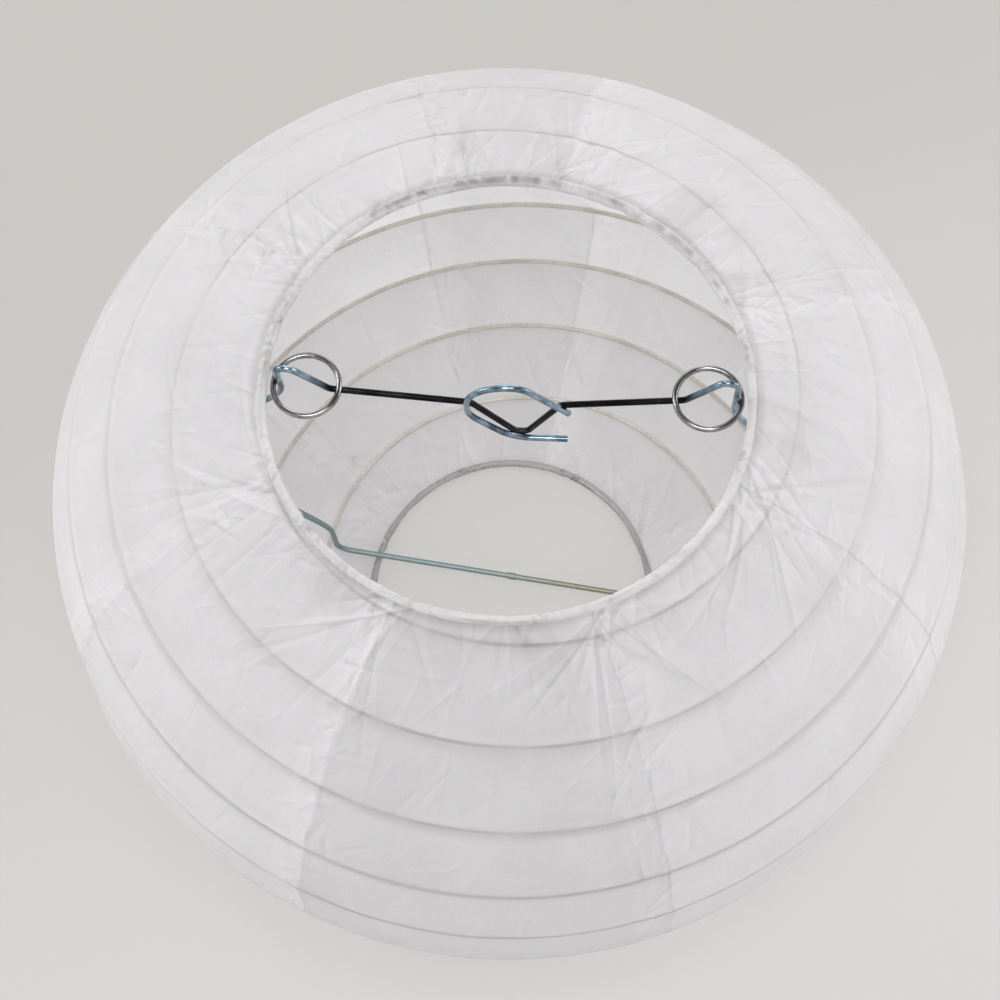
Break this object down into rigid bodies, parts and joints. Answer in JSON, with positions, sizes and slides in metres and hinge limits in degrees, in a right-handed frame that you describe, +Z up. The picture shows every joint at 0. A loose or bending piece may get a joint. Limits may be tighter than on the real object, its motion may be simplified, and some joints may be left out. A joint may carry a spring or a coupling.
{
  "type": "round paper lantern",
  "caption": "Round white paper lantern with a spiral wire rib, open hooped mouths and a sprung wire frame that holds the shell open and carries the hanging eye.",
  "frame": {"origin": "on the axis of the lantern, on the surface that the hem of the lower mouth stands on", "axes": "+Z up along the axis, +X along the upper bar of the wire frame, -Y towards the front"},
  "size_m": [0.3, 0.3, 0.1993],
  "materials": {
    "paper": "thin white lantern paper, matt, crinkled at the hems",
    "rib_wire": "thin pale coated rib wire glued inside the paper",
    "hoop_wire": "pale coated hoop wire rolled into the hem",
    "frame_wire": "bright plated spring steel wire"
  },
  "bodies": {
    "shell": {"gore_1": "paper", "gore_2": "paper", "gore_3": "paper", "gore_4": "paper", "gore_5": "paper", "gore_6": "paper", "gore_7": "paper", "gore_8": "paper", "spiral_rib": "rib_wire", "bottom_hoop": "hoop_wire"},
    "top_rim": {"top_hoop": "hoop_wire"},
    "expander": {"expander_frame": "frame_wire", "shoulder_ring_left": "frame_wire", "shoulder_ring_right": "frame_wire", "hanging_clip": "frame_wire"}
  },
  "joints": [
    {"name": "collapse", "type": "slide", "parent": "shell", "child": "top_rim", "axis": [0, 0, -1], "range_m": [0, 0.165], "deforming": ["gore_1", "gore_2", "gore_3", "gore_4", "gore_5", "gore_6", "gore_7", "gore_8", "spiral_rib"]},
    {"name": "expander_turn", "type": "hinge", "parent": "shell", "child": "expander", "pos_m": [0, 0, 0], "axis": [0, 0, 1], "continuous": true}
  ]
}
